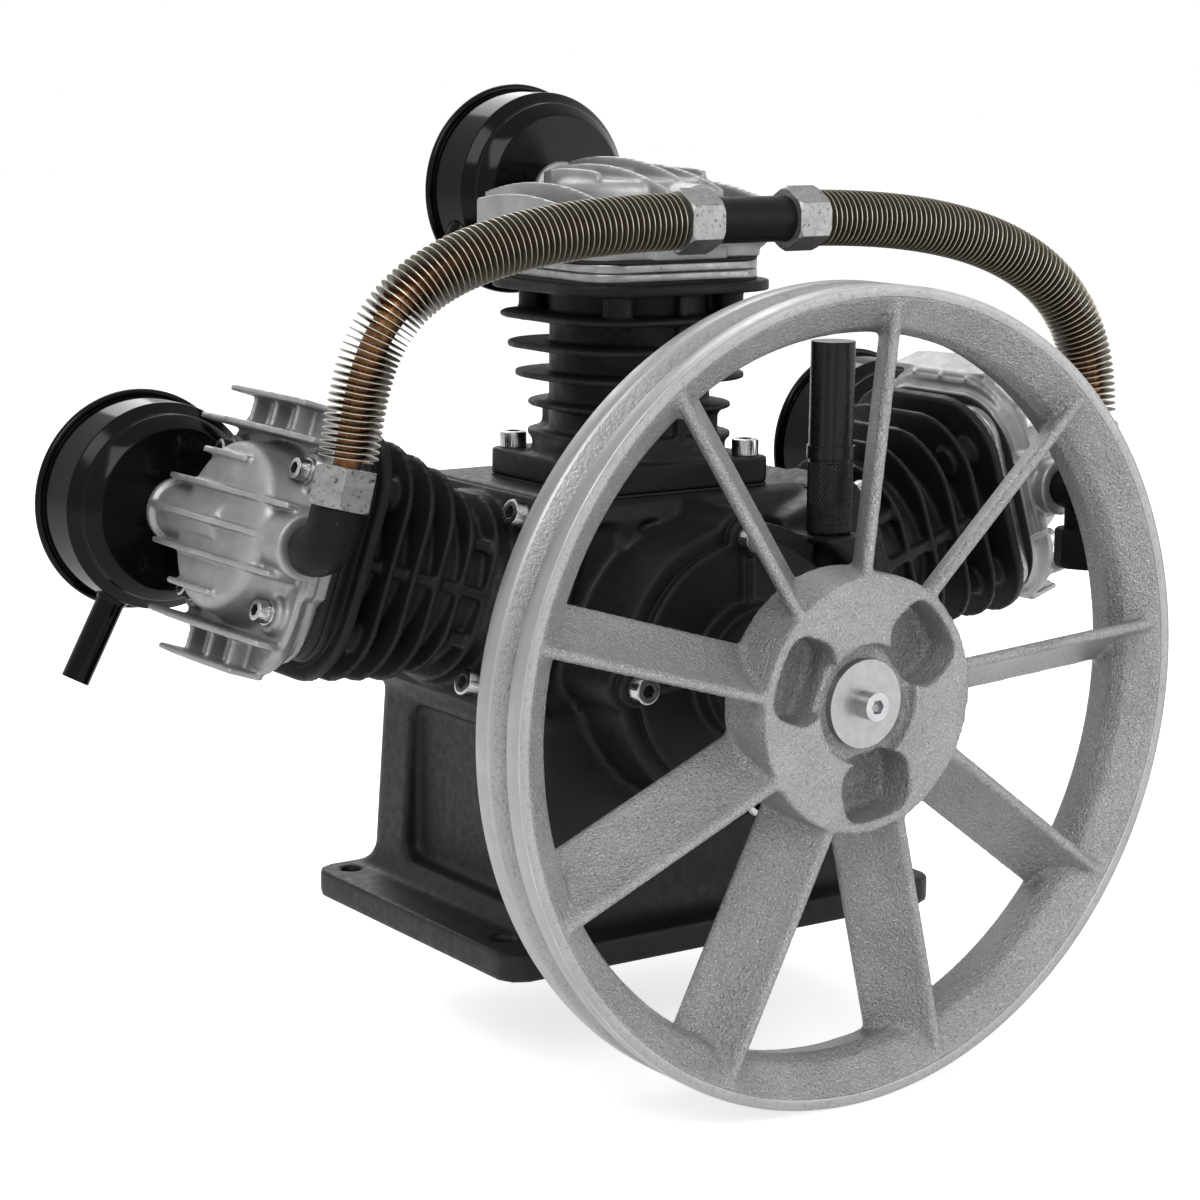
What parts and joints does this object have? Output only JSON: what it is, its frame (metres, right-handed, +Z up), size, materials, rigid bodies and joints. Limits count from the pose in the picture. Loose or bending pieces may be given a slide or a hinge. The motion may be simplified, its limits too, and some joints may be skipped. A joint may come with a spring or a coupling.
{
  "type": "air compressor pump head",
  "caption": "Belt-driven piston air compressor pump head with finned cylinders in a W, finned copper discharge tubes, drum intake filters and a fan-spoked flywheel",
  "frame": {"origin": "centre of the four mounting holes, on the mounting face of the foot", "axes": "X across the pump, Y along the crank axis from the flywheel towards the intake filters, Z up"},
  "size_m": [0.5314, 0.3017, 0.4512],
  "materials": {
    "black_casting": "matte black paint on a sand casting",
    "cylinder_iron": "satin black paint on a sand casting",
    "gasket": "dark compressed fibre",
    "zinc_screw": "bright zinc plating",
    "seal_rubber": "matte",
    "bearing_steel": "ground and polished",
    "forged_steel": "ground",
    "piston_alloy": "turned",
    "ring_iron": "ground",
    "valve_steel": "ground",
    "head_aluminium": "satin as-cast",
    "filter_enamel": "gloss black enamel on pressed steel",
    "filter_paper": "pleated filter paper",
    "black_oxide": "black oxide",
    "tube_nut_zinc": "dull zinc plating",
    "tube_copper": "drawn copper",
    "tube_fin": "tarnished copper strip",
    "breather_black": "satin black",
    "sight_glass": "clear window",
    "wheel_silver": "silver paint on a sand casting, machined rim"
  },
  "bodies": {
    "frame": {"crankcase": "black_casting", "front_cover": "black_casting", "front_cover_gasket": "gasket", "front_cover_screws": "zinc_screw", "rear_cover": "black_casting", "rear_cover_gasket": "gasket", "rear_cover_screws": "zinc_screw", "shaft_seal": "seal_rubber", "front_bearing_outer_ring": "bearing_steel", "rear_bearing": "bearing_steel", "crank_throw": "forged_steel", "connecting_rod_left": "forged_steel", "connecting_rod_centre": "forged_steel", "connecting_rod_right": "forged_steel", "piston_left": "piston_alloy", "piston_centre": "piston_alloy", "piston_right": "piston_alloy", "piston_rings": "ring_iron", "gudgeon_pins": "forged_steel", "cylinder_left": "cylinder_iron", "cylinder_centre": "cylinder_iron", "cylinder_right": "cylinder_iron", "cylinder_gaskets": "gasket", "cylinder_screws": "zinc_screw", "valve_plates_left": "valve_steel", "valve_plates_centre": "valve_steel", "valve_plates_right": "valve_steel", "reed_valves": "valve_steel", "head_gaskets": "gasket", "head_left": "head_aluminium", "head_centre": "head_aluminium", "head_right": "head_aluminium", "head_screws": "zinc_screw", "filter_housing_left": "filter_enamel", "filter_housing_centre": "filter_enamel", "filter_housing_right": "filter_enamel", "filter_covers": "filter_enamel", "filter_elements": "filter_paper", "port_nipples": "black_oxide", "elbow_left": "black_oxide", "tee_centre": "black_oxide", "tee_right": "black_oxide", "tube_nuts": "tube_nut_zinc", "tube_left": "tube_copper", "tube_right": "tube_copper", "tube_fins_left": "tube_fin", "tube_fins_right": "tube_fin", "breather_base": "breather_black", "breather_tube": "breather_black", "oil_sight_glass": "sight_glass", "oil_drain_plug": "tube_nut_zinc"},
    "rotor": {"flywheel": "wheel_silver", "crankshaft": "forged_steel", "front_bearing_inner_ring": "bearing_steel", "flywheel_key": "forged_steel", "flywheel_washer": "zinc_screw", "flywheel_screw": "zinc_screw"},
    "ball_set": {"front_bearing_balls": "bearing_steel"}
  },
  "joints": [
    {"name": "flywheel_spin", "type": "hinge", "parent": "frame", "child": "rotor", "pos_m": [0, -0.1, 0.1335], "axis": [0, 1, 0], "continuous": true},
    {"name": "ball_set_spin", "type": "hinge", "parent": "frame", "child": "ball_set", "pos_m": [0, -0.071, 0.1335], "axis": [0, 1, 0], "continuous": true}
  ],
  "couplings": [
    {"joint": "ball_set_spin", "follows": "flywheel_spin", "ratio": 0.4}
  ]
}
